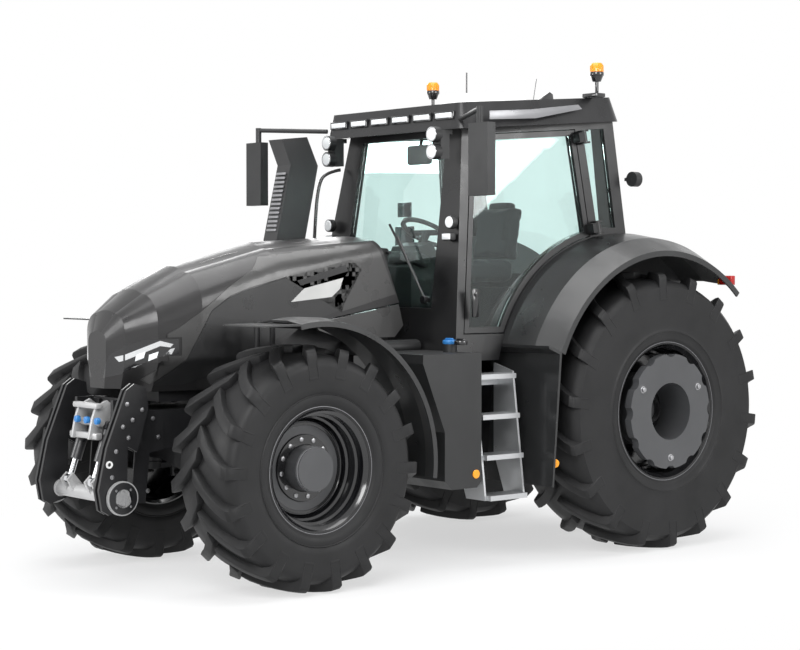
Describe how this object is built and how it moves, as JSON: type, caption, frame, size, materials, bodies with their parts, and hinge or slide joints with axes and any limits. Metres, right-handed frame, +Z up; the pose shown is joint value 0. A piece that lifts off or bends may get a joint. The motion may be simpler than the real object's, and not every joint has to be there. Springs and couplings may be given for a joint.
{
  "type": "farm tractor",
  "caption": "Large four-wheel-drive farm tractor with a glazed cab, carved hood, lugged tyres, steered front axle, front linkage and rear three-point linkage.",
  "frame": {"origin": "on the ground at the centre of the outline's footprint", "axes": "+Z up, +Y towards the rear, -Y is the front, +X is the tractor's own left"},
  "size_m": [2.76, 5.3946, 3.5299],
  "materials": {
    "tyre_rubber": "matte black rubber",
    "rim_black": "gloss black paint",
    "casting_grey": "satin grey paint on castings",
    "chassis_grey": "satin dark grey paint",
    "hood_grey": "satin dark grey paint",
    "black_plastic": "matte moulded plastic",
    "cab_black": "satin black paint",
    "cab_glass": "tinted clear glass",
    "roof_grey": "satin dark grey moulding",
    "lamp_glass": "clear lamp lens",
    "light_casting": "pale grey casting",
    "cylinder_black": "gloss black paint",
    "chrome_rod": "hard chrome",
    "step_aluminium": "mill aluminium",
    "exhaust_grey": "heat-proof grey paint",
    "dome_white": "gloss white moulding",
    "beacon_amber": "amber lens",
    "seat_fabric": "woven dark fabric"
  },
  "bodies": {
    "chassis": {"front_axle": "chassis_grey", "engine_block": "chassis_grey", "front_frame": "chassis_grey", "transmission": "chassis_grey", "cab_frame": "cab_black", "cab_glass": "cab_glass", "cab_roof": "roof_grey", "rear_fender_left": "black_plastic", "rear_fender_right": "black_plastic", "hood_hinge": "chassis_grey", "side_panels": "hood_grey", "linkage_frame": "chassis_grey", "cylinder_pins": "light_casting", "drawbar": "chassis_grey", "fuel_tank": "black_plastic", "side_box": "black_plastic", "cab_steps": "step_aluminium", "exhaust_stack": "exhaust_grey", "intake_elbow": "black_plastic", "mirrors": "black_plastic", "receiver_dome": "dome_white", "beacons": "beacon_amber", "work_lights": "lamp_glass", "seat": "seat_fabric", "cab_interior": "black_plastic", "steering_wheel": "black_plastic"},
    "steer_left": {"knuckle_left": "chassis_grey", "front_fender_left": "black_plastic"},
    "steer_right": {"knuckle_right": "chassis_grey", "front_fender_right": "black_plastic"},
    "tie": {"tie_rod": "chassis_grey"},
    "wheel_front_left": {"tyre_front_left": "tyre_rubber", "rim_front_left": "rim_black", "front_hub_left": "casting_grey"},
    "wheel_front_right": {"tyre_front_right": "tyre_rubber", "rim_front_right": "rim_black", "front_hub_right": "casting_grey"},
    "wheel_rear_left": {"tyre_rear_left": "tyre_rubber", "rim_rear_left": "rim_black", "rear_hub_left": "casting_grey", "rear_weight_left": "casting_grey"},
    "wheel_rear_right": {"tyre_rear_right": "tyre_rubber", "rim_rear_right": "rim_black", "rear_hub_right": "casting_grey", "rear_weight_right": "casting_grey"},
    "door": {"door_left": "cab_black", "door_glass": "cab_glass"},
    "hood_lid": {"hood": "hood_grey", "headlights": "lamp_glass"},
    "rocker": {"front_rocker": "light_casting"},
    "barrels": {"front_barrels": "cylinder_black"},
    "rods": {"front_rods": "chrome_rod"},
    "links": {"lower_links": "chassis_grey"},
    "arms": {"lift_arms": "chassis_grey"},
    "lift_bars": {"lift_rods": "cylinder_black"}
  },
  "joints": [
    {"name": "steer_left", "type": "hinge", "parent": "chassis", "child": "steer_left", "pos_m": [0.79, -1.55, 0.78], "axis": [0, 0, 1], "range_deg": [-30, 30]},
    {"name": "steer_right", "type": "hinge", "parent": "chassis", "child": "steer_right", "pos_m": [-0.79, -1.55, 0.78], "axis": [0, 0, 1], "range_deg": [-31, 31]},
    {"name": "tie_rod", "type": "hinge", "parent": "steer_left", "child": "tie", "pos_m": [0.79, -1.36, 0.5977], "axis": [0, 0, 1], "range_deg": [-31, 31]},
    {"name": "roll_front_left", "type": "hinge", "parent": "steer_left", "child": "wheel_front_left", "pos_m": [0.94, -1.55, 0.78], "axis": [1, 0, 0], "continuous": true},
    {"name": "roll_front_right", "type": "hinge", "parent": "steer_right", "child": "wheel_front_right", "pos_m": [-0.94, -1.55, 0.78], "axis": [1, 0, 0], "continuous": true},
    {"name": "roll_rear_left", "type": "hinge", "parent": "chassis", "child": "wheel_rear_left", "pos_m": [1, 1.5, 1.008], "axis": [1, 0, 0], "continuous": true},
    {"name": "roll_rear_right", "type": "hinge", "parent": "chassis", "child": "wheel_rear_right", "pos_m": [-1, 1.5, 1.008], "axis": [1, 0, 0], "continuous": true},
    {"name": "door", "type": "hinge", "parent": "chassis", "child": "door", "pos_m": [0.884, 1.216, 2.337], "axis": [-0.0701, -0.1485, 0.9864], "range_deg": [0, 75]},
    {"name": "hood_lift", "type": "hinge", "parent": "chassis", "child": "hood_lid", "pos_m": [0, -0.25, 2.15], "axis": [-1, 0, 0], "range_deg": [0, 50]},
    {"name": "front_lift", "type": "hinge", "parent": "chassis", "child": "rocker", "pos_m": [0, -2.518, 0.606], "axis": [1, 0, 0], "range_deg": [-18, 18]},
    {"name": "front_barrels", "type": "hinge", "parent": "chassis", "child": "barrels", "pos_m": [0, -2.44, 1.03], "axis": [1, 0, 0], "range_deg": [-5, 5]},
    {"name": "front_rods", "type": "slide", "parent": "barrels", "child": "rods", "axis": [0, -0.3325, -0.9431], "range_m": [-0.03, 0.03]},
    {"name": "rear_lift", "type": "hinge", "parent": "chassis", "child": "links", "pos_m": [0, 1.69, 0.56], "axis": [1, 0, 0], "range_deg": [-12, 24]},
    {"name": "lift_arms", "type": "hinge", "parent": "chassis", "child": "arms", "pos_m": [0, 1.76, 1.312], "axis": [1, 0, 0], "range_deg": [-15, 29]},
    {"name": "lift_rods", "type": "hinge", "parent": "arms", "child": "lift_bars", "pos_m": [0, 2.24, 1.312], "axis": [1, 0, 0], "range_deg": [-29, 15]}
  ],
  "couplings": [
    {"joint": "steer_right", "follows": "steer_left", "ratio": 1},
    {"joint": "tie_rod", "follows": "steer_left", "ratio": -1},
    {"joint": "front_barrels", "follows": "front_lift", "ratio": -0.156},
    {"joint": "front_rods", "follows": "front_lift", "m_per_rad": 0.065333},
    {"joint": "lift_arms", "follows": "rear_lift", "ratio": 1.1697},
    {"joint": "lift_rods", "follows": "rear_lift", "ratio": -1.1562}
  ]
}
